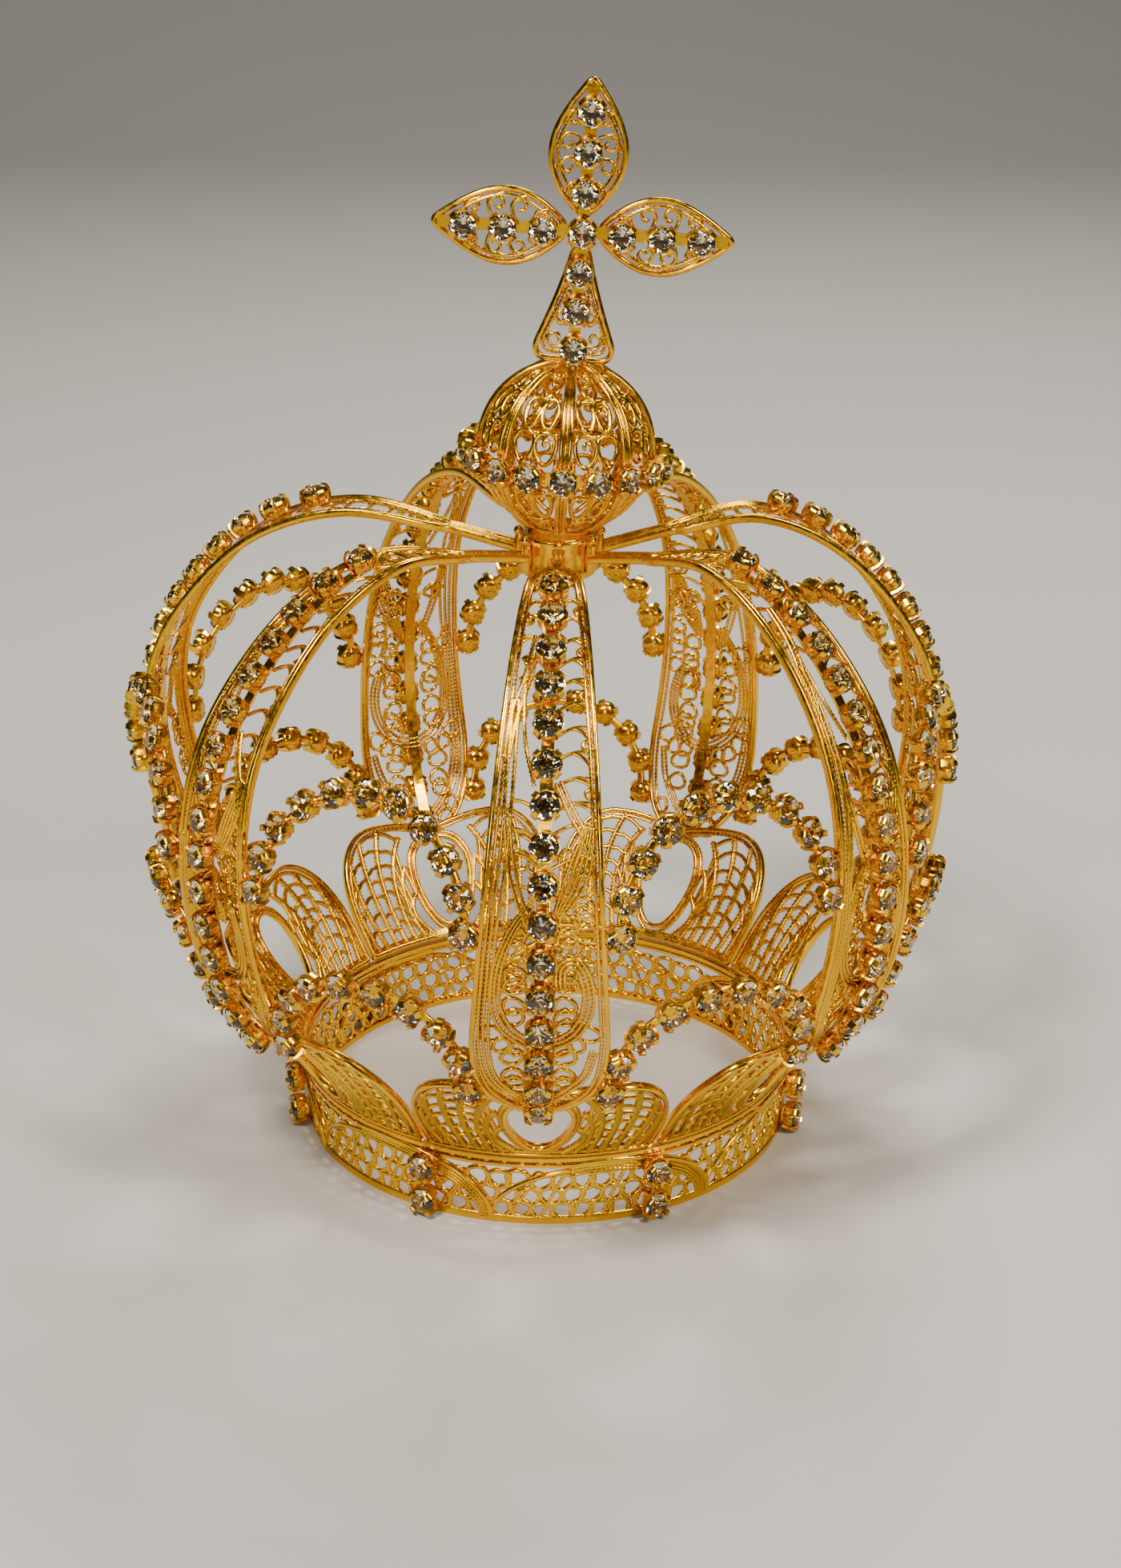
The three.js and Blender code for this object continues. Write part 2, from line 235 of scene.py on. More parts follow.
# clouds of colour: noise on the object's coordinates through a ramp between two tints, each with its place
def clouds(material, shader, look):
    links = material.node_tree.links
    place = shaderNode(material, "ShaderNodeTexCoord")
    cloud = shaderNode(material, "ShaderNodeTexNoise", Scale=look["clouds"], Detail=look["detail"])
    tint = shaderNode(material, "ShaderNodeValToRGB")
    for stop, (position, colour) in zip(tint.color_ramp.elements, (look["deep"], look["bright"])):
        stop.position = position
        stop.color = colour
    links.new(place.outputs["Object"], cloud.inputs["Vector"])
    links.new(cloud.outputs["Fac"], tint.inputs["Fac"])
    links.new(tint.outputs["Color"], shader.inputs["Base Color"])
    return place


giltLook = {
    "deep": (0.36, (0.8, 0.43, 0.004, 1)),
    "bright": (0.62, (1.0, 0.6, 0.008, 1)),
    "clouds": 45.0,
    "detail": 4.0,
    "smoothest": 0.1,
    "dullest": 0.3,
    "grain": 900.0,
    "bump": 0.25,
}
stoneLook = {"Base Color": (1.0, 0.9, 0.62, 1), "Roughness": 0.0, "IOR": 1.57, "Transmission Weight": 1.0}
foilLook = {
    "deep": (0.35, (0.7, 0.5, 0.16, 1)),
    "bright": (0.65, (1.0, 0.9, 0.58, 1)),
    "clouds": 420.0,
    "detail": 2.0,
    "roughness": 0.14,
}


# gilt wire: warm metal clouded in colour, its gloss and bump from a fine drawn-wire grain
def giltFinish(name, look):
    material, shader = newFinish(name, {"Metallic": 1.0})
    place = clouds(material, shader, look)
    grain = shaderNode(material, "ShaderNodeTexNoise", Scale=look["grain"], Detail=3.0)
    gloss = shaderNode(material, "ShaderNodeMapRange", **{
        "From Min": 0.3, "From Max": 0.7, "To Min": look["smoothest"], "To Max": look["dullest"]})
    bump = shaderNode(material, "ShaderNodeBump", Strength=look["bump"], Distance=0.0001)
    links = material.node_tree.links
    links.new(place.outputs["Object"], grain.inputs["Vector"])
    links.new(grain.outputs["Fac"], gloss.inputs["Value"])
    links.new(gloss.outputs["Result"], shader.inputs["Roughness"])
    links.new(grain.outputs["Fac"], bump.inputs["Height"])
    links.new(bump.outputs["Normal"], shader.inputs["Normal"])
    return material


gilt = giltFinish("gilt_wire", giltLook)
clear, _ = newFinish("clear_stone", stoneLook)      # see-through by plain values
foil, foilShader = newFinish("stone_foil", {"Metallic": 1.0, "Roughness": foilLook["roughness"]})
clouds(foil, foilShader, foilLook)

wires = {
    "frame": softSection(0.85, 1.4),
    "edge": flatSection(0.5, 1.0),
    "twist": roundSection(0.32, 5),
    "fine": roundSection(0.36, 5),
    "stout": roundSection(0.42, 6),
    "strip": flatSection(1.9, 0.45),
    "link": softSection(1.4, 0.7),
    "rib": roundSection(0.4, 6),
    "bead": roundSection(0.52, 8),
    "vein": roundSection(0.54, 6),
}
twistPitch = 0.36


# a wire laid on a surface: flat points to space by the surface's own map
# a twisted one swells at every other point
def lay(surface, path, section, lift=0.0, twisted=False, closed=False, spacing=0.8):
    flat = even(path, twistPitch if twisted else spacing)
    if closed:
        flat = flat[:-1]
    points, ups = surface(flat, lift)
    girth = 1 + 0.26 * (np.arange(len(flat)) % 2 * 2 - 1) if twisted else 1.0
    return sweep(points[None], ups[None], section, girth, closed)


# many lines of one length laid on a surface at once
def drape(surface, flat, section, lift=0.0, closed=False):
    points, ups = surface(flat, lift)
    return sweep(points, ups, section, closed=closed)


# small closed loops: centre + turned ellipse, the radius dented a little so that each one is its own
def loops(surface, centres, radii, tilts, section, lift=0.0, corners=12):
    turn = 2 * np.pi * np.arange(corners) / corners
    wave = 1 + 0.08 * np.sin(3 * turn[None] + tilts[:, None] * 5)
    x = radii[:, :1] * np.cos(turn)[None] * wave
    y = radii[:, 1:] * np.sin(turn)[None] * wave
    c, s = np.cos(tilts)[:, None], np.sin(tilts)[:, None]
    flat = centres[:, None] + np.stack([x * c - y * s, x * s + y * c], -1)
    return drape(surface, flat, section, lift, closed=True)


# scrolls: radius falls evenly from outer to inner over the turns
def scrolls(surface, centres, radius, turns, starts, hands, section, lift=0.0, corners=22):
    u = np.linspace(0, 1, corners)[None]
    turn = starts[:, None] + hands[:, None] * turns * 2 * np.pi * u
    reach = radius[:, None] * (1 - 0.78 * u)
    flat = centres[:, None] + np.stack([reach * np.cos(turn), reach * np.sin(turn)], -1)
    return drape(surface, flat, section, lift)


# little balls: a latitude and longitude grid with single points at the poles
def balls(centres, radius, around=8, rings=4):
    lat = np.pi * (np.arange(1, rings) / rings - 0.5)
    lon = 2 * np.pi * np.arange(around) / around
    belt = circle(lon[None], np.cos(lat)[:, None], np.sin(lat)[:, None]).reshape(-1, 3)
    form = radius * np.vstack([belt, [[0, 0, -1], [0, 0, 1]]])
    index = np.arange(len(belt)).reshape(rings - 1, around)
    turnOn = np.roll(index, -1, 1)
    quads = np.stack([index[:-1], turnOn[:-1], turnOn[1:], index[1:]], -1).reshape(-1, 4)
    low = np.stack([turnOn[0], index[0], np.full(around, len(belt))], -1)
    high = np.stack([index[-1], turnOn[-1], np.full(around, len(belt) + 1)], -1)
    axes = [np.tile(v, (len(centres), 1)) for v in np.eye(3)]
    return stamp(form, [quads, low, high], centres, *axes)


# claw cup and its stone, in millimetres: x aside, y along the chain, z out
cup = {
    "seat": 1.85, "rim": 2.25, "depth": 1.95, "wall": 0.3, "hole": 0.35, "sides": 16, "foilSides": 12,
    "claws": 4, "clawWidth": 1.05, "clawThick": 0.42, "clawTop": 3.05,
    "girdle": 2.06, "girdleAt": 2.15, "table": 1.18, "tableAt": 3.0, "culet": 0.5,
}


# ring turned about the cup's axis: rows of radius and height, the radius swelling at four corners
def ringForm(rows, sides, corners=0.0):
    rows = np.array(rows)
    turn = 2 * np.pi * np.arange(sides) / sides
    points = circle(turn, rows[:, :1] * (1 + corners * np.cos(4 * turn)), rows[:, 1:])
    return points.reshape(-1, 3), [ringFaces(len(rows), sides)]


# cup wall: seven rows, outside up and inside down, on four slightly flattened sides
def cupForm():
    seat, rim, depth, wall, hole = (cup[k] for k in ("seat", "rim", "depth", "wall", "hole"))
    rows = [[hole, 0.0], [seat, 0.05], [rim - 0.05, depth * 0.62], [rim, depth], [rim - wall, depth],
            [seat - wall, 0.35], [hole, 0.3]]
    return ringForm(rows, cup["sides"], 0.045)


# claws: flat wires rising on the cup's corners and bending in over the stone's edge
def clawForm():
    turn = 2 * np.pi * (np.arange(cup["claws"]) + 0.5) / cup["claws"]
    rim = cup["rim"]
    reach = np.array([rim - 0.2, rim + 0.08, rim + 0.14, rim - 0.1, cup["table"] + 0.4])
    rise = np.array([0.3, 1.2, cup["girdleAt"], cup["clawTop"] - 0.25, cup["clawTop"]])
    paths = circle(turn[:, None], reach, rise)
    ups = np.repeat(circle(turn, 1.0, 0.6)[:, None], len(rise), 1)
    girth = np.array([1.15, 1.1, 1.0, 0.9, 0.7])[None]
    return sweep(paths, ups, flatSection(cup["clawWidth"], cup["clawThick"]), girth)


# brilliant cut: table, star and girdle rings of points, then down to the culet
def stoneForm():
    eight = 2 * np.pi * np.arange(8) / 8
    half = np.pi / 8
    sixteen = 2 * np.pi * np.arange(16) / 16
    starAt = 0.6 * cup["tableAt"] + 0.4 * cup["girdleAt"]
    points = np.vstack([
        circle(eight, cup["table"], cup["tableAt"]),
        circle(eight + half, 0.5 * (cup["table"] + cup["girdle"]) + 0.05, starAt),
        circle(sixteen, cup["girdle"], cup["girdleAt"] + 0.06),
        circle(sixteen, cup["girdle"], cup["girdleAt"] - 0.06),
        circle(eight + half, 0.55 * cup["girdle"], 0.5 * (cup["girdleAt"] + cup["culet"]) + 0.02),
        [[0, 0, cup["culet"]]],
    ])
    i = np.arange(8)
    j = (i + 1) % 8
    t, s, g, u, p, low = i, 8 + i, 16, 32, 48 + i, np.full(8, 56)
    g0, g1, g2 = g + 2 * i, g + 2 * i + 1, g + (2 * i + 2) % 16
    u0, u1, u2 = u + 2 * i, u + 2 * i + 1, u + (2 * i + 2) % 16
    around = np.arange(16)
    nextOne = (around + 1) % 16
    pPrev = 48 + (i - 1) % 8
    triangles = np.vstack([
        np.stack([t, s, j], -1),
        np.stack([s, g1, g2], -1), np.stack([s, g0, g1], -1),
        np.stack([u0, p, u1], -1), np.stack([u1, p, u2], -1),
    ])
    kites = np.vstack([
        np.stack([j, s, g2, 8 + j], -1),
        np.stack([g + around, u + around, u + nextOne, g + nextOne], -1),
        np.stack([u0, pPrev, low, p], -1),
    ])
    return points, [triangles, kites, np.arange(8)[None]]


# foil under a stone: a thin shallow cone a hair below the pavilion
def foilForm():
    girdle, level, culet = (cup[k] for k in ("girdle", "girdleAt", "culet"))
    rows = [[girdle - 0.06, level - 0.16], [0.08, culet - 0.08],
            [0.08, culet - 0.14], [girdle - 0.04, level - 0.26]]
    return ringForm(rows, cup["foilSides"])


cupPoints, cupFaces = cupForm()
clawPoints, clawFaces = clawForm()
stonePoints, stoneFaces = stoneForm()
foilPoints, foilFaces = foilForm()


# cups, foils and stones along a chain whose base points, outward and forward directions are given
def chainParts(bases, outs, alongs):
    outs = unit(outs)
    sides = unit(np.cross(alongs, outs))
    alongs = np.cross(outs, sides)
    spin = rng.uniform(0, math.pi / 4, len(bases))[:, None]
    turnedSide = np.cos(spin) * sides + np.sin(spin) * alongs
    turnedAlong = np.cos(spin) * alongs - np.sin(spin) * sides
    axes = bases, sides, alongs, outs
    cups = [stamp(cupPoints, cupFaces, *axes), stamp(clawPoints, clawFaces, *axes)]
    foils = [stamp(foilPoints, foilFaces, *axes)]
    stones = [stamp(stonePoints, stoneFaces, bases, turnedSide, turnedAlong, outs)]
    return cups, foils, stones


# a gilt piece that stands for one solid
def putGilt(name, parts, node):
    piece = putMesh(name, parts, gilt)
    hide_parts(node)


# one chain as three pieces: gilt cups with their strip, foiled backs and clear stones
def putChain(node, cups, foils, stones):
    putGilt(node + "_cups", cups, node)
    putMesh(node + "_backs", foils, foil)
    putMesh(node + "_gems", stones, clear, smooth=False)


# arches
arch = {
    # radius and height of the bend, from the neck down to the foot
    "line": [(7.2, 100.7), (18.7, 103), (31.3, 105), (45.2, 97.9), (58.2, 81.2), (63.3, 59.3), (60.4, 38.5),
             (55.6, 30.2)],
    "neckWidth": 2.3, "bellyWidth": 20.2, "flareStart": 0.1, "belly": 0.86, "roundEnd": 1.015,
    "stones": 16, "stonesFrom": 0.245, "stonesTo": 0.985, "cupLift": 0.75,
    "cellPitch": 2.7, "cellHalf": 1.45, "stoneRoom": 2.3, "curlPitch": 0.66, "neckPitch": 2.6,
    # guide lines over the strap as (stone number, share of the half width), left is negative
    "upperArc": [(1.4, -0.42), (2.6, -0.6), (3.7, -0.84), (4.8, -0.92)],
    "leftBraid": [(3.2, -0.84), (5, -0.8), (7, -0.78), (9, -0.84)],
    "innerCurl": [(2.2, -0.6), (3.4, -0.62), (4.5, -0.5), (5.5, -0.26)],
    "splitIn": [(6.2, -0.78), (7.3, -0.66), (8.3, -0.46), (9.1, -0.24)],
    "lowerBraid": [(8.8, -0.88), (10.5, -0.9), (12.5, -0.88), (13.7, -0.82), (14.5, -0.62), (15, -0.3)],
    "diagonal": [(5.4, 0.24), (6.1, 0.5), (6.8, 0.8), (7.3, 0.92)],
    "wedge": [(6.5, 0.9), (7.3, 0.74), (8.1, 0.52), (8.9, 0.24)],
    "comma": [(8.5, -0.22), (9.3, -0.55), (10.3, -0.74), (11.3, -0.74), (12.1, -0.52), (12.6, -0.08),
              (12.4, 0.42), (11.7, 0.72), (10.8, 0.78), (10.1, 0.6), (10.2, 0.36), (10.8, 0.32)],
    "lowerRight": [(12.8, 0.86), (13.7, 0.76), (14.4, 0.54), (15, 0.22)],
    # strands of each braid, their spacing, and the share of it at both ends
    "braids": {
        "upperArc": (2, 1.0, (0.8, 0.8)), "leftBraid": (2, 1.05, (0.8, 0.8)),
        "innerCurl": (1, 1.0, (1.0, 1.0)), "splitIn": (2, 0.85, (0.9, 0.9)),
        "lowerBraid": (3, 0.76, (0.9, 0.8)), "diagonal": (2, 0.85, (0.9, 0.9)),
        "comma": (3, 0.78, (0.5, 0.8)), "lowerRight": (2, 0.8, (0.9, 0.9)), "wedge": (5, 0.76, (0.3, 0.3)),
    },
}

# the bend as a fine table, run on straight past its foot for the rounded end
tableStep, tailSteps = 0.2, 30
archTable = even(flow(arch["line"], 60), tableStep)
archTail = unit(archTable[-1:] - archTable[-2:-1]) * np.arange(1, tailSteps)[:, None] * tableStep
archTable = np.vstack([archTable, archTable[-1:] + archTail])
archRun = runLength(archTable)
archLength = archRun[-tailSteps]
archNow = {}                            # the line of the arch that is being made


# smooth step from nought to one between two values
def ease(value, low, high):
    u = np.clip((value - low) / (high - low), 0, 1)
    return u * u * (3 - 2 * u)


# extra radius of the shoulder: squared cosine about each side, eased in with the radius and the height
def fullness(azimuth, radius, height):
    left = np.maximum(0, np.cos(azimuth + crown["fullAzimuth"]))**2
    right = np.maximum(0, np.cos(azimuth - crown["fullAzimuth"]))**2
    extra = crown["fullLeft"] * left + crown["fullRight"] * right
    return extra * ease(radius, 15, 45) * ease(height, 28, 85)


# the arch's line at one azimuth: radius plus its fullness, with the outward normal of the new line
def bendArch(azimuth):
    line = archTable + np.stack([fullness(azimuth, *archTable.T), 0 * archRun], 1)
    tangent = unit(np.gradient(line, axis=0))
    archNow["columns"] = (*line.T, -tangent[:, 1], tangent[:, 0])


# strap surface at the front: x is across, radius and height follow the line, lifted along its normal
def archSurface(flat, lift):
    along = flat[..., 1]
    r, z, outR, outZ = (np.interp(along, archRun, v) for v in archNow["columns"])
    points = np.stack([flat[..., 0], -(r + lift * outR), z + lift * outZ], -1)
    return points, np.stack([0 * r, -outR, outZ], -1)


# half width: narrow at the neck, grows with a power of the length down to the belly, then a superellipse end
def archHalf(along):
    share = np.asarray(along, float) / archLength
    flare = np.maximum(share - arch["flareStart"], 0) / (arch["belly"] - arch["flareStart"])
    grow = arch["neckWidth"] + (arch["bellyWidth"] - arch["neckWidth"]) * flare**0.6
    fall = np.clip((share - arch["belly"]) / (arch["roundEnd"] - arch["belly"]), 0, 1)
    return np.where(share < arch["belly"], grow, arch["bellyWidth"] * np.sqrt(1 - fall**2.4)) / 2


# length down the strap at a stone's number, at even steps from the first stone to the last
def stoneAlong(number):
    span = arch["stonesTo"] - arch["stonesFrom"]
    return archLength * (arch["stonesFrom"] + span * np.asarray(number, float) / (arch["stones"] - 1))


# guide line in millimetres on the strap
def archGuide(name):
    number, share = np.array(arch[name]).T
    along = stoneAlong(number)
    return flow(np.stack([share * (archHalf(along) - 0.6), along], 1))


# side by side strands; their spacing times a swell that is one in the middle and given at both ends
def strands(surface, path, count, gap, section, lift, ends=(1.0, 1.0)):
    path = even(path, twistPitch)
    u = np.linspace(0, 1, len(path))
    end = np.where(u < 0.5, *ends)
    swell = end + (1 - end) * np.sin(np.pi * u)
    return [lay(surface, beside(path, gap * (n - (count - 1) / 2) * swell), section, lift, twisted=True)
            for n in range(count)]


# closed outline of a strap, an inset in from the edge: down one side, round the foot and up the other
def archOutline(inset):
    end = archLength * arch["roundEnd"] - inset
    along = end * np.sin(np.linspace(0, np.pi / 2, 160))
    half = np.maximum(archHalf(along) - inset, 0)
    half[-1] = 0
    right = np.stack([half, along], 1)
    return np.vstack([right, (right * [-1, 1])[::-1][1:]])


# rows of loops between the stone line and the frame in the lower half, cell width from the room there is
def archCells():
    centres, radii = [], []
    pitch, inner = arch["cellPitch"], arch["stoneRoom"]
    for row, along in enumerate(np.arange(stoneAlong(7.4), archLength - 1.5, pitch)):
        room = float(archHalf(along)) - 1.0 - inner
        cells = max(1, int(round(room / pitch)))
        width = room / cells
        for side in (-1, 1):
            at = side * (inner + width * (np.arange(cells) + 0.5))
            centres += [(x, along + 0.9 * (1.2 * (k + row) % 2)) for k, x in enumerate(at)]
            radii += [(width * 0.53, arch["cellHalf"])] * cells
    return np.array(centres), np.array(radii)


# tendrils of the upper half: an arc bowed up from the stone line to the frame, and a branch of it bowed down
def archCurls():
    arcs = []
    for side in (-1, 1):
        for number in np.arange(-0.4, 7.6, arch["curlPitch"]):
            along = float(stoneAlong(number)) + rng.normal(0, 0.25)
            room = 0.78 if side < 0 and number > 1.6 else 1.0      # the braid takes the left edge
            reach = room * (float(archHalf(along)) - 0.4)
            start, end = np.array([0.8, along + 0.4]), np.array([reach, along - 0.9])
            main = bow(start, 0.5 * (start + end) + [0.1 * reach, -2.3], end)
            tip = np.array([reach, along + 1.5 + rng.normal(0, 0.3)])
            branch = bow(main[4], 0.5 * (main[4] + tip) + [0.12 * reach, -0.9], tip)
            arcs += [main * [side, 1], branch * [side, 1]]
    return np.array(arcs)


# a single row of lozenge cells in the narrow part near the neck
def archNeckCells():
    along = np.arange(5.0, stoneAlong(-0.7), arch["neckPitch"])
    half = archHalf(along) - 0.75
    keep = half > 0.45
    return np.stack([0 * along, along], 1)[keep], np.stack([half, np.full(len(along), 1.35)], 1)[keep]


# distance from flat points to the nearest braid's middle line
def toBraids(points):
    lines = np.vstack([even(archGuide(name), 0.6) for name in arch["braids"]])
    return np.linalg.norm(points[..., None, :] - lines, axis=-1).min(-1)


# one strap: frame and inner wire, cells and tendrils left out under the braids, the braids proud, the strip
def archStrap():
    parts = [lay(archSurface, archOutline(0.0), wires["frame"], 0.0, spacing=0.9),
             lay(archSurface, archOutline(0.9), wires["twist"], 0.25, twisted=True)]
    centres, radii = archCells()
    centres = centres + rng.normal(0, 0.2, centres.shape)
    tilts = rng.uniform(-0.7, 0.7, len(centres))
    free = toBraids(centres) > 0.85
    parts.append(loops(archSurface, centres[free], radii[free], tilts[free], wires["fine"], -0.15))
    centres, radii = archNeckCells()
    parts.append(loops(archSurface, centres, radii, 0 * centres[:, 0], wires["fine"], 0.0))
    arcs = archCurls()
    arcs = arcs[(toBraids(arcs) < 0.7).mean(1) < 0.5]
    parts.append(drape(archSurface, arcs, wires["twist"], -0.05))
    curls = arcs[::4, 6] + [0, 1.0]
    across = curls[:, 0]
    parts.append(scrolls(archSurface, curls, np.minimum(np.abs(across) * 0.24, 1.0), 1.1,
                         rng.uniform(0, anyTurn, len(curls)), np.sign(across), wires["fine"], -0.1))
    for name, (count, gap, ends) in arch["braids"].items():
        parts += strands(archSurface, archGuide(name), count, gap, wires["twist"], 0.5, ends)
    spine = np.stack([np.zeros(60), np.linspace(stoneAlong(-0.6), stoneAlong(15.3), 60)], 1)
    parts.append(lay(archSurface, spine, wires["strip"], 0.45))
    return parts


# cup places down the strap: surface point lifted above the strip
def archChain():
    flat = np.stack([np.zeros(arch["stones"]), stoneAlong(np.arange(arch["stones"]))], 1)
    bases, outs = archSurface(flat, arch["cupLift"])
    ahead, _ = archSurface(flat + [0, 0.5], arch["cupLift"])
    return chainParts(bases, outs, unit(ahead - bases))


for number in range(crown["sectors"]):
    azimuth = number * step
    bendArch(azimuth)
    strap = archStrap()
    putGilt(f"arch_strap_{number + 1}", setRound(strap, azimuth), f"arch_{number + 1}")
    putChain(f"arch_stones_{number + 1}", *(setRound(p, azimuth) for p in archChain()))
print("stage: arches", sum(len(f) for _, faces in strap for f in faces), "faces each")

# hoops
bulge = {"radius": 63.3, "height": 59.3, "above": 0.0105, "below": 0.0065}
hoopLift = {"strip": 0.7, "cups": 0.1, "overhang": 0.12}
hoops = {
    "upper_hoop": {"stones": 11, "foot": 62.0, "rise": 18.0, "reach": 11.35, "inset": 0.5},
    "lower_hoop": {"stones": 10, "foot": 34.6, "rise": 15.7, "reach": 10.7, "inset": 1.0},
}


# bulge radius: a parabola of the height, steeper above the belly than below it, plus the fullness
def bulgeAt(height, azimuth):
    up = height - bulge["height"]
    radius = bulge["radius"] - np.where(up > 0, bulge["above"], bulge["below"]) * up**2
    return radius + fullness(azimuth, radius, height)


# half oval on the bulge: azimuth by cosine, height by sine of the turn, ends one reach off the arches
def hoopPoints(turn, hoop, middle):
    height = hoop["foot"] + hoop["rise"] * np.sin(turn)
    archAt = middle - np.sign(np.cos(turn)) * step / 2
    half = step / 2 - hoop["reach"] / bulgeAt(hoop["foot"], archAt)
    azimuth = -half * np.cos(turn)
    radius = bulgeAt(height, middle + azimuth) - hoop["inset"]
    slope = bulgeAt(height + 0.5, middle + azimuth) - bulgeAt(height - 0.5, middle + azimuth)
    return spoke(azimuth, radius, height), unit(spoke(azimuth, 1.0, -slope))


for name, hoop in hoops.items():
    turn = np.pi * np.arange(hoop["stones"]) / (hoop["stones"] - 1)
    fine = np.linspace(-hoopLift["overhang"], np.pi + hoopLift["overhang"], 70)
    for number in range(crown["sectors"]):
        azimuth = (number + 0.5) * step
        bases, outs = hoopPoints(turn, hoop, azimuth)
        ahead, _ = hoopPoints(turn + 0.01, hoop, azimuth)
        ribbon, ribbonOut = hoopPoints(fine, hoop, azimuth)
        strip = sweep((ribbon + hoopLift["strip"] * ribbonOut)[None], ribbonOut[None], wires["link"])
        cups, foils, stones = chainParts(bases + hoopLift["cups"] * outs, outs, unit(ahead - bases))
        chain = ([strip] + cups, foils, stones)
        putChain(f"{name}_{number + 1}", *(setRound(parts, azimuth) for parts in chain))
print("stage: hoops")

# leaves
leaf = {
    "topRadius": 54.7, "topHeight": 32.0, "rootGap": 0.6, "halfAngle": math.radians(24.6), "meanRadius": 49.0,
    "lobeCentre": 0.55, "notch": 0.9, "corner": 0.28,
    "dropHalf": 6.2, "dropFoot": 2.3, "dropTop": 19.0, "linkPitch": 2.9,
    # where the ribs of one lobe end, from the opening's lower side over the top to the shoulder
    "ribEnds": [(5.9, 9.4), (6.9, 14.6), (6.5, 20.2), (10.2, 22.0), (14.2, 21.0), (17.6, 17.8), (19.6, 12.4)],
}
leafFoot = crown["bandHeight"] + leaf["rootGap"]
leafRise = np.array([leaf["topRadius"] - crown["rimRadius"], leaf["topHeight"] - leafFoot])
leafSlope = float(np.linalg.norm(leafRise))
leafFlare = leafRise / leafSlope
leafHalf = leaf["halfAngle"] * leaf["meanRadius"]


# leaf surface: across as an arc round the axis, up the flared slope, lifted along the cone's normal
def leafSurface(flat, lift):
    azimuth = flat[..., 0] / leaf["meanRadius"]
    radius = crown["rimRadius"] + flat[..., 1] * leafFlare[0] + lift * leafFlare[1]
    height = leafFoot + flat[..., 1] * leafFlare[1] - lift * leafFlare[0]
    return spoke(azimuth, radius, height), spoke(azimuth, leafFlare[1], -leafFlare[0])


# top edge: straight rise from the notch to the lobe's centre, then a quarter ellipse down to the shoulder
def leafEdge(across):
    away = np.abs(across) / leafHalf
    fall = np.clip((away - leaf["lobeCentre"]) / (1 - leaf["lobeCentre"]), 0, 1)
    inner = leaf["notch"] + (1 - leaf["notch"]) * np.sin(np.clip(away / leaf["lobeCentre"], 0, 1) * np.pi / 2)
    outer = leaf["corner"] + (1 - leaf["corner"]) * np.sqrt(1 - fall**2)
    return leafSlope * np.where(away < leaf["lobeCentre"], inner, outer)


# closed leaf outline, an inset in from the edge
def leafOutline(inset):
    across = (leafHalf - inset) * np.sin(np.linspace(-np.pi / 2, np.pi / 2, 90))
    scale = (leafHalf - inset) / leafHalf
    top = np.stack([across, leafEdge(across / scale) - inset], 1)
    foot = np.stack([np.linspace(leafHalf - inset, inset - leafHalf, 40), np.full(40, 0.3 + inset)], 1)
    return np.vstack([top, foot, top[:1]])


# drop-shaped opening: half width by sine of the turn, drawn in towards the foot by a power of the height
def dropOutline(grow):
    turn = np.linspace(0, 2 * np.pi, 61)
    rise = 0.5 + 0.5 * np.sin(turn)
    aside = np.cos(turn)
    wide = (leaf["dropHalf"] + grow) * np.sign(aside) * np.abs(aside)**0.85 * (0.72 + 0.28 * rise)
    foot, top = leaf["dropFoot"] - 1.3 * grow, leaf["dropTop"] + grow
    return np.stack([wide, foot + (top - foot) * rise], 1)


# ribs of one lobe: from along the foot edge, bulging out, round to the opening's side and the top
def lobeRibs(side):
    end = np.array(leaf["ribEnds"])
    share = np.linspace(0, 1, len(end))[:, None]
    root = np.hstack([4.2 + 14.6 * share, 0.8 + 0 * share])
    aside = np.minimum(np.maximum(root[:, :1], end[:, :1]) + 4.4 - 3.4 * share, leafHalf - 0.6)
    bend = np.hstack([aside, 0.55 * end[:, 1:] + 0.6])
    return bow(root, bend, end, 30) * [side, 1]


# short links between neighbouring ribs, bowed up, at even steps along the longer one
def lobeLinks(ribs):
    links = []
    for low, high in zip(ribs[:-1], ribs[1:]):
        span = runLength(high)[-1]
        at = np.linspace(0, 1, len(low))
        rows = np.arange(1, int(span / leaf["linkPitch"]) + 1) + rng.uniform(-0.2, 0.2)
        for row in rows * leaf["linkPitch"] / span:
            a = np.array([np.interp(row, at, low[:, k]) for k in (0, 1)])
            b = np.array([np.interp(row + rng.uniform(-0.03, 0.05), at, high[:, k]) for k in (0, 1)])
            links.append(np.stack([a, 0.5 * (a + b) + [0, 0.4], b]))
    return np.array(links)


# one leaf: a frame and a twisted wire round its edge and its opening, a sill, ribs and links in both lobes
def leafPanel():
    sill = np.stack([np.linspace(0.9 - leafHalf, leafHalf - 0.9, 40), np.full(40, 0.8)], 1)
    parts = [lay(leafSurface, leafOutline(0.0), wires["frame"], 0.0, closed=True),
             lay(leafSurface, leafOutline(0.8), wires["twist"], 0.1, twisted=True, closed=True),
             lay(leafSurface, dropOutline(0.0), wires["frame"], 0.0, closed=True),
             lay(leafSurface, dropOutline(0.85), wires["stout"], 0.1, twisted=True, closed=True),
             lay(leafSurface, sill, flatSection(1.5, 0.6), 0.0)]
    for side in (-1, 1):
        ribs = lobeRibs(side)
        parts += [lay(leafSurface, rib, wires["vein"], 0.05, twisted=True) for rib in ribs]
        parts.append(drape(leafSurface, lobeLinks(ribs), wires["stout"]))
    return parts


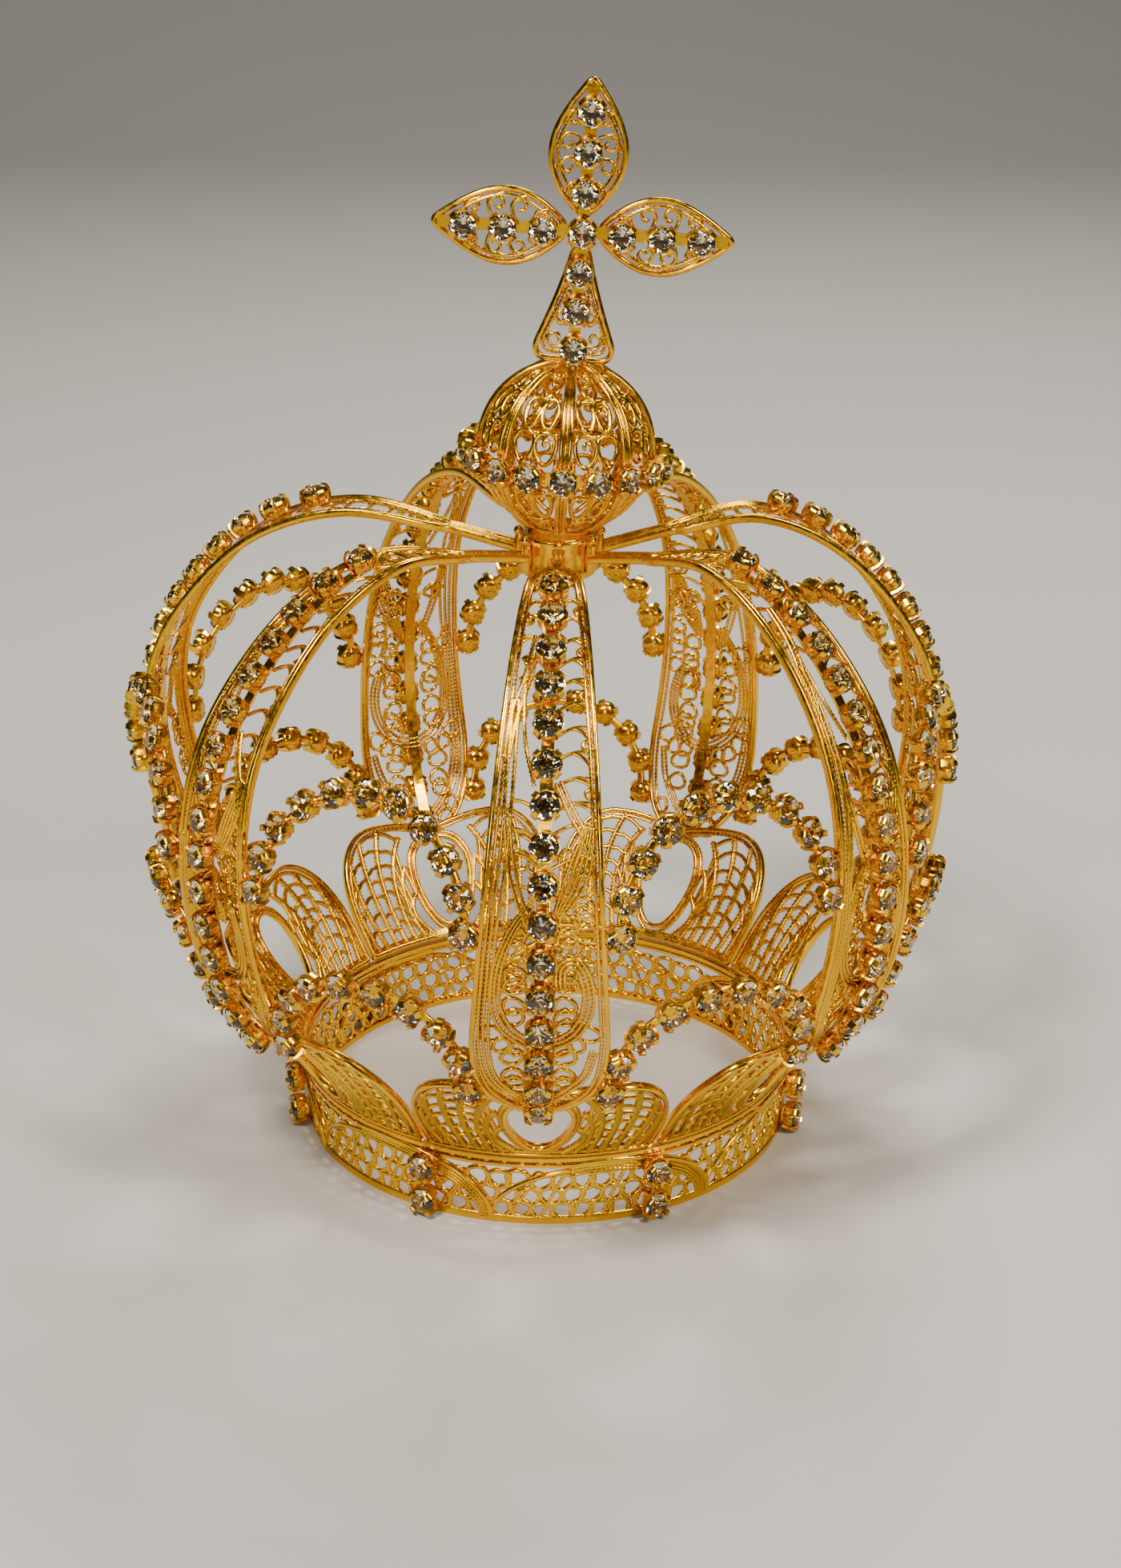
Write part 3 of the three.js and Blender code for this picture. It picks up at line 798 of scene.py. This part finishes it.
panel = leafPanel()
for number in range(crown["sectors"]):
    putGilt(f"leaf_panel_{number + 1}", setRound(panel, number * step), f"leaf_{number + 1}")
print("stage: leaves", sum(len(f) for _, faces in panel for f in faces), "faces each")

# band
band = {
    "meanRadius": 41.2, "stoneLow": 2.7, "stonePitch": 6.2, "stoneLift": 0.75,
    "arcShift": math.radians(-11.5), "arcFoot": 0.9, "arcRise": crown["bandHeight"] - 2.6,
    "bricks": 13, "veins": 6, "cells": 11, "cellPitch": 2.8, "cellLow": 2.5,
}


# band surface: arc round the axis, height up the slightly flared wall
def bandSurface(flat, lift):
    azimuth = flat[..., 0] / band["meanRadius"]
    climb = (crown["rimRadius"] - crown["footRadius"]) / crown["bandHeight"]
    radius = crown["footRadius"] + climb * flat[..., 1] + lift
    return spoke(azimuth, radius, flat[..., 1]), spoke(azimuth)


# a level wire right round the band: one height at every azimuth
def hoopWire(height, section, lift, twisted=False):
    around = np.linspace(0, 2 * np.pi * band["meanRadius"], 420)
    return lay(bandSurface, np.stack([around, np.full(420, height)], 1), section, lift, twisted, True, 1.0)


# half-oval frames of the band: arc by cosine, height by sine
def arcLine(grow):
    turn = np.linspace(0, np.pi, 60)
    half = 0.5 * step * band["meanRadius"] * grow
    return np.stack([-half * np.cos(turn), band["arcFoot"] + band["arcRise"] * grow * np.sin(turn)], 1)


# one sector of the band: half oval, staggered rows of loops, slanting veins, short posts under the rim
def bandSector():
    half = 0.5 * step * band["meanRadius"]
    arc = arcLine(0.97)
    # the half oval is a plain wire on its left, a broad braid under a stout edge on its right
    plain, broad = arc[:34], arc[24:]
    parts = [lay(bandSurface, plain, wires["stout"], 0.3),
             lay(bandSurface, beside(broad, 1.2), wires["frame"], 0.35)]
    parts += strands(bandSurface, broad, 4, 0.56, wires["twist"], 0.35, (0.4, 0.8))
    rows = np.arange(band["cellLow"], crown["bandHeight"] - 2.0, band["cellPitch"])
    across = (np.arange(band["cells"]) + 0.5) / band["cells"] * 2 * half - half
    x, y = np.meshgrid(across, rows)
    x = x + (np.arange(len(rows)) % 2 * half / band["cells"])[:, None]
    centres = np.stack([x.ravel(), y.ravel()], 1) + rng.normal(0, 0.25, (x.size, 2))
    radii = np.tile([half / band["cells"] * 1.06, band["cellPitch"] * 0.56], (x.size, 1))
    parts.append(loops(bandSurface, centres, radii, rng.uniform(-0.6, 0.6, x.size), wires["stout"], 0.0))
    # veins inside the half oval, slanting up to the right
    for at in np.linspace(-0.72, 0.62, band["veins"]) * half:
        top = band["arcFoot"] + band["arcRise"] * math.sqrt(max(0.0, 1 - ((at + 2.4) / half)**2)) - 0.7
        vein = flow([(at - 1.6, 0.9), (at, 0.5 * top), (at + 2.4, top)])
        parts.append(lay(bandSurface, vein, wires["twist"], 0.1, twisted=True))
    bars = np.linspace(-half, half, band["bricks"], endpoint=False)
    top = crown["bandHeight"]
    levels = (top - 1.6, top - 0.9, top - 0.2)
    posts = np.stack([np.stack([bars, np.full(len(bars), level)], -1) for level in levels], 1)
    parts.append(drape(bandSurface, posts, flatSection(0.6, 0.5), 0.25))
    return parts


rim = crown["bandHeight"]
ring = [hoopWire(0.45, flatSection(0.9, 0.9), 0.0), hoopWire(1.2, wires["twist"], 0.3, True),
        hoopWire(rim - 0.3, flatSection(0.6, 1.3), 0.05), hoopWire(rim - 1.5, wires["edge"], 0.2),
        hoopWire(rim - 0.9, wires["twist"], 0.0, True)]
sector = bandSector()
for number in range(crown["sectors"]):
    ring += setRound(sector, (number + 0.5) * step + band["arcShift"])
putGilt("band_openwork", ring, "base_band")
heights = band["stoneLow"] + band["stonePitch"] * np.arange(2)
bases, outs = bandSurface(np.stack([0 * heights, heights], 1), band["stoneLift"])
for number in range(crown["sectors"]):
    pair = chainParts(bases, outs, np.tile([0.0, 0.0, 1.0], (2, 1)))
    putChain(f"band_stones_{number + 1}", *(setRound(p, (number + 0.5) * step) for p in pair))
print("stage: band")

# neck, ball and cross, leaning together
neck = {"radius": 6.2, "wall": 1.1, "foot": 97.0, "head": 103.6, "facets": 28}
finial = {"foot": 104.0, "lean": math.radians(4)}
ball = {
    "radius": 13.7, "ribs": 8, "ribHalf": 0.68, "ribRoom": 2.9, "pole": 80, "stones": 18, "stoneDrop": 1.5,
    "stoneOut": 0.45, "cellRows": [-56, -31, 13, 37, 60], "cellHalf": 2.6, "curl": 1.15, "bead": 0.46,
}
cross = {
    "centre": 47.9, "armLength": 23.4, "armHalf": 5.9, "armRoot": 2.6, "footLength": 20.2, "footHalf": 6.9,
    "pitch": 6.1, "cupLift": 0.7, "curlPitch": 3.6,
}


# finial placing: turn about the front-to-back line, then up to the neck's head
def setFinial(parts):
    c, s = math.cos(finial["lean"]), math.sin(finial["lean"])
    shift = crown["sway"] * (finial["foot"] - crown["bandHeight"])
    turn = np.array([[c, 0, -s], [0, 1, 0], [s, 0, c]])
    return [(points @ turn + [shift, 0, finial["foot"]], faces) for points, faces in parts]


# ring turned from a closed profile of radius and height
def turned(profile, facets):
    radius, height = np.array(profile).T
    azimuth = 2 * np.pi * np.arange(facets)[:, None] / facets
    quads = ringFaces(facets, len(profile))[:, [0, 3, 2, 1]]
    return spoke(azimuth, radius, height).reshape(-1, 3), [quads]


# collar turned from a waisted profile, with a pin and a bead at every arch
def neckParts():
    r, wall, foot, head = (neck[k] for k in ("radius", "wall", "foot", "head"))
    profile = [(r - wall, foot), (r - 0.25, foot), (r, foot + 0.4), (r - 0.3, foot + 1.2),
               (r - 0.3, head - 1.2), (r, head - 0.5), (r - 0.2, head), (r - wall, head)]
    turn = np.arange(crown["sectors"]) * step
    ends = (r + 0.35, foot + 0.9), (r + 0.45, foot + 3.4), (r + 0.35, head - 0.6)
    pins = np.stack([spoke(turn, *end) for end in ends], 1)
    ups = np.repeat(spoke(turn)[:, None], 3, 1)
    rods = sweep(pins, ups, roundSection(0.85, 8), np.array([0.8, 1.15, 0.75]))
    return [turned(profile, neck["facets"]), rods, balls(spoke(turn, r + 0.6, head - 0.4), 0.85)]


putGilt("neck_ring", setRound(neckParts(), 0.0), "neck_collar")


# ball surface: arc lengths east and north on a sphere standing on the neck
def ballSurface(flat, lift):
    lon, lat = flat[..., 0] / ball["radius"], flat[..., 1] / ball["radius"]
    up = spoke(lon, np.cos(lat), np.sin(lat))
    return up * (ball["radius"] - 0.5 + lift) + [0, 0, ball["radius"]], up


# ball: ribs of two wires and a twist from pole to pole, drawn in by the cosine of the latitude
# between them rows of loops, each row with a curl and beads, and three level rings
def ballParts():
    radius = ball["radius"]
    gore = 2 * np.pi * radius / ball["ribs"]
    pole = math.radians(ball["pole"])
    north = np.linspace(-pole, pole, 60) * radius
    slim = np.maximum(np.cos(north / radius), 0.22)
    parts = []
    for rib in range(ball["ribs"]):
        offset = lambda reach: np.stack([rib * gore + reach * (0.35 + 0.65 * slim) / slim, north], 1)
        parts.append(lay(ballSurface, offset(0.0), wires["twist"], 0.45, True))
        for side in (-1, 1):
            parts.append(lay(ballSurface, offset(ball["ribHalf"] * side), wires["rib"], 0.6))
        for row, lat in enumerate(np.radians(ball["cellRows"])):
            room = gore * math.cos(lat) - ball["ribRoom"]
            cells = 2 if room > 4.0 else 1
            spread = room / cells / math.cos(lat)
            at = (rib + 0.5) * gore + (np.arange(cells) - (cells - 1) / 2) * spread
            centres = np.stack([at, np.full(cells, lat * radius)], 1)
            size = np.tile([0.48 * spread, ball["cellHalf"]], (cells, 1))
            tilts = np.zeros(cells)
            parts.append(loops(ballSurface, centres, size, tilts, wires["stout"], -0.05, corners=18))
            curl = centres[(row + rib) % cells][None] + [0.1, 0.5]
            parts.append(scrolls(ballSurface, curl, np.array([ball["curl"]]), 0.9,
                                 rng.uniform(0, anyTurn, 1), np.array([1.0]), wires["fine"], -0.1))
            shoulders = np.vstack([centres + [0.42 * spread, 2.2], centres + [-0.42 * spread, 2.2]])
            beads, _ = ballSurface(shoulders, 0.0)
            parts.append(balls(beads, ball["bead"]))
    for lat, section in ((-ball["pole"], "frame"), (-5, "edge"), (ball["pole"], "frame")):
        around = np.linspace(0, 2 * np.pi * radius, 160)
        ringLine = np.stack([around, np.full(160, math.radians(lat) * radius)], 1)
        parts.append(lay(ballSurface, ringLine, wires[section], 0.1, closed=True))
    return parts


putGilt("orb_openwork", setFinial(ballParts()), "orb")
belt = ball["radius"] + ball["stoneOut"], ball["radius"] - ball["stoneDrop"]
turn = 2 * np.pi * np.arange(ball["stones"]) / ball["stones"]
cups, foils, stones = chainParts(spoke(turn, *belt), spoke(turn), circle(turn))
ringTurn = np.linspace(0, 2 * np.pi, 90, endpoint=False)
cups.append(sweep(spoke(ringTurn, *belt)[None], spoke(ringTurn)[None], wires["strip"], closed=True))
putChain("orb_stone_ring", *(setFinial(p) for p in (cups, foils, stones)))
print("stage: ball")


# cross surface: flat, x to the right and height from its centre, lifted towards the front
def crossSurface(turn):
    c, s = math.cos(turn), math.sin(turn)

    def surface(flat, lift):
        x = flat[..., 0] * c + flat[..., 1] * s
        z = flat[..., 1] * c - flat[..., 0] * s + cross["centre"]
        points = np.stack([x, 0 * x - lift, z], -1)
        return points, np.broadcast_to(np.array([0.0, -1.0, 0.0]), points.shape)
    return surface


# leaf arm: half width swells as a sine of the length, drawn to a point
def armHalf(along):
    u = np.clip((along - cross["armRoot"]) / (cross["armLength"] - cross["armRoot"]), 0, 1)
    return 0.55 + (cross["armHalf"] - 0.2) * np.sin(np.pi * u**0.92)**0.95 * (1 - 0.12 * u) - 0.55 * u


# bell foot: half width grows slowly from the top, then rounds in at its lower corners
def footHalf(along):
    u = np.clip((along - cross["armRoot"]) / (cross["footLength"] - cross["armRoot"]), 0, 1)
    corner = np.clip((u - 0.86) / 0.14, 0, 1)
    return (1.1 + (cross["footHalf"] - 1.1) * u**1.25) * np.sqrt(1 - corner**2 * 0.45)


# one arm: a round frame, a twisted wire inside it, pairs of bowed curls with scrolls, and the strip
def armParts(turn, half, length):
    surface = crossSurface(turn)
    root = cross["armRoot"]
    along = np.linspace(root, length, 50)
    parts = []
    for inset, section, twisted in ((0.0, "bead", False), (0.95, "twist", True)):
        reach = root + inset + (along - root) * (length - root - 2.2 * inset) / (length - root)
        width = np.maximum(half(along) - inset, 0.1)
        right = np.stack([width, reach], 1)
        outline = even(np.vstack([right, (right * [-1, 1])[::-1], right[:1]]), 0.35)[:-1]
        outline = sum(np.roll(outline, k, 0) for k in range(-3, 4)) / 7      # rounds the tip
        outline = np.vstack([outline, outline[:1]])
        parts.append(lay(surface, outline, wires[section], 0.15 if twisted else 0.0, twisted, True, 0.6))
    for row in np.arange(root + 3.2, length - 2.6, cross["curlPitch"]):
        reach = float(half(np.array(row))) - 0.6
        for side in (-1, 1):
            if reach < 2.2:
                continue
            start, end = np.array([1.4, row + 1.2]), np.array([reach, row - 0.5])
            bend = np.array([0.8 * reach, row + 2.6])
            curl = bow(start, bend, end) * [side, 1]
            parts.append(lay(surface, curl, wires["twist"], 0.1, spacing=0.5))
            knot = np.array([[side * 0.62 * reach, row + 0.3]])
            parts.append(scrolls(surface, knot, np.array([0.3 * reach]), 0.9, np.array([0.5 * np.pi]),
                                 np.array([-1.0 * side]), wires["twist"], 0.1))
    spine = np.stack([np.zeros(20), np.linspace(0.2, length - 1.0, 20)], 1)
    parts.append(lay(surface, spine, wires["strip"], 0.35))
    return parts


arms = {"top": (0.0, armHalf, "armLength"), "right": (math.pi / 2, armHalf, "armLength"),
        "left": (-math.pi / 2, armHalf, "armLength"), "foot": (math.pi, footHalf, "footLength")}
for side, (turn, half, length) in arms.items():
    putGilt(f"cross_leaf_{side}", setFinial(armParts(turn, half, cross[length])), f"cross_arm_{side}")

rows = {"bar": (-3, 7, (1.0, 0.0)), "top": (1, 3, (0.0, 1.0)), "foot": (1, 3, (0.0, -1.0))}
for name, (first, count, way) in rows.items():
    flat = np.outer(np.arange(first, first + count) * cross["pitch"], way)
    bases, outs = crossSurface(0.0)(flat, cross["cupLift"])
    along = np.tile([way[0], 0.0, way[1]], (count, 1))
    putChain(f"cross_stones_{name}", *(setFinial(p) for p in chainParts(bases, np.array(outs), along)))
print("stage: cross")

# studio
studio = {
    "floorSize": 3.0, "backAt": 0.9, "corner": 0.4, "backRise": 1.6,
    "floor": {"Base Color": (0.56, 0.56, 0.56, 1), "Roughness": 0.75},
    "world": {"Color": (0.55, 0.53, 0.5, 1), "Strength": 0.05},
    "middle": 0.07,                     # height that the lights aim at
}
# azimuth and elevation in degrees, distance, width and height in metres, power and colour
lights = {
    "key": (-35, 55, 0.75, (0.16, 0.16), 5.8, (1.0, 0.92, 0.8)),
    "side": (50, 40, 0.8, (0.1, 0.3), 3.8, (1.0, 0.92, 0.8)),
    "rim": (165, 50, 0.8, (0.3, 0.12), 5, (1.0, 0.92, 0.8)),
    "low": (-8, 14, 1.2, (0.16, 0.3), 2.4, (1.0, 0.93, 0.84)),
}


# floor and backdrop in one sweep: flat, then a quarter round, then upright
def floorSheet():
    turn = np.linspace(0, np.pi / 2, 24)
    size, back, corner = (studio[k] for k in ("floorSize", "backAt", "corner"))
    y = np.concatenate([[-size], back + corner * np.sin(turn), [back + corner]])
    z = np.concatenate([[0.0], corner - corner * np.cos(turn), [studio["backRise"]]])
    x = np.tile([-size, size], (len(y), 1))
    points = np.stack([x, np.repeat(y[:, None], 2, 1), np.repeat(z[:, None], 2, 1)], -1)
    index = np.arange(len(y) * 2).reshape(-1, 2)
    faces = np.stack([index[:-1, 0], index[:-1, 1], index[1:, 1], index[1:, 0]], -1)
    mesh = bpy.data.meshes.new("floor")
    mesh.from_pydata(points.reshape(-1, 3).tolist(), [], faces.tolist())
    mesh.polygons.foreach_set("use_smooth", np.ones(len(faces), bool))
    mesh.materials.append(newFinish("pale_floor", studio["floor"])[0])
    floor = bpy.data.objects.new("floor", mesh)
    bpy.context.scene.collection.objects.link(floor)


floorSheet()


# an object with its axes along side, up and back, standing at a place
def putObject(name, data, side, up, back, place):
    basis = np.eye(4)
    basis[:3] = np.stack([side, up, back, place], 1)
    thing = bpy.data.objects.new(name, data)
    thing.matrix_world = Matrix(basis.tolist())
    bpy.context.scene.collection.objects.link(thing)
    return thing


# an area light aimed at the crown's middle from an azimuth and elevation in degrees
def softLight(name, azimuth, elevation, distance, size, power, colour):
    az, el = math.radians(azimuth), math.radians(elevation)
    back = spoke(az, math.cos(el), math.sin(el))
    data = bpy.data.lights.new(name, "AREA")
    data.shape = "RECTANGLE"
    data.size, data.size_y = size
    data.energy = power
    data.color = colour
    side = unit(np.cross([0, 0, 1.0], back))
    putObject(name, data, side, np.cross(back, side), back, back * distance + [0, 0, studio["middle"]])


for name, values in lights.items():
    softLight(name, *values)
world = bpy.data.worlds.new("studio")
world.use_nodes = True
for socket, value in studio["world"].items():
    world.node_tree.nodes["Background"].inputs[socket].default_value = value
bpy.context.scene.world = world

# camera, for a picture of 1400 by 1958 pixels at 7.5 pixels to the millimetre on the axis
view = {
    "azimuth": math.radians(1.24), "elevation": math.radians(22.8), "roll": math.radians(0.29),
    "distance": 462.0, "aim": (2.2, 0.0, 59.6), "lens": 63.7,
}


# camera place: aim point + distance along the view direction; its axes from the direction and the upright
def setCamera():
    az, el = view["azimuth"], view["elevation"]
    back = spoke(az, math.cos(el), math.sin(el))
    place = (np.array(view["aim"]) + back * view["distance"]) * mm
    side = unit(np.cross([0, 0, 1.0], back))
    up = np.cross(back, side)
    c, s = math.cos(view["roll"]), math.sin(view["roll"])
    data = bpy.data.cameras.new("camera")
    data.lens = view["lens"]
    data.sensor_width = 36.0
    data.sensor_fit = "AUTO"
    data.clip_start = 0.01
    data.clip_end = 20.0
    rolled = c * side + s * up, c * up - s * side
    bpy.context.scene.camera = putObject("camera", data, *rolled, back, place)


setCamera()
print("stage: studio and camera")
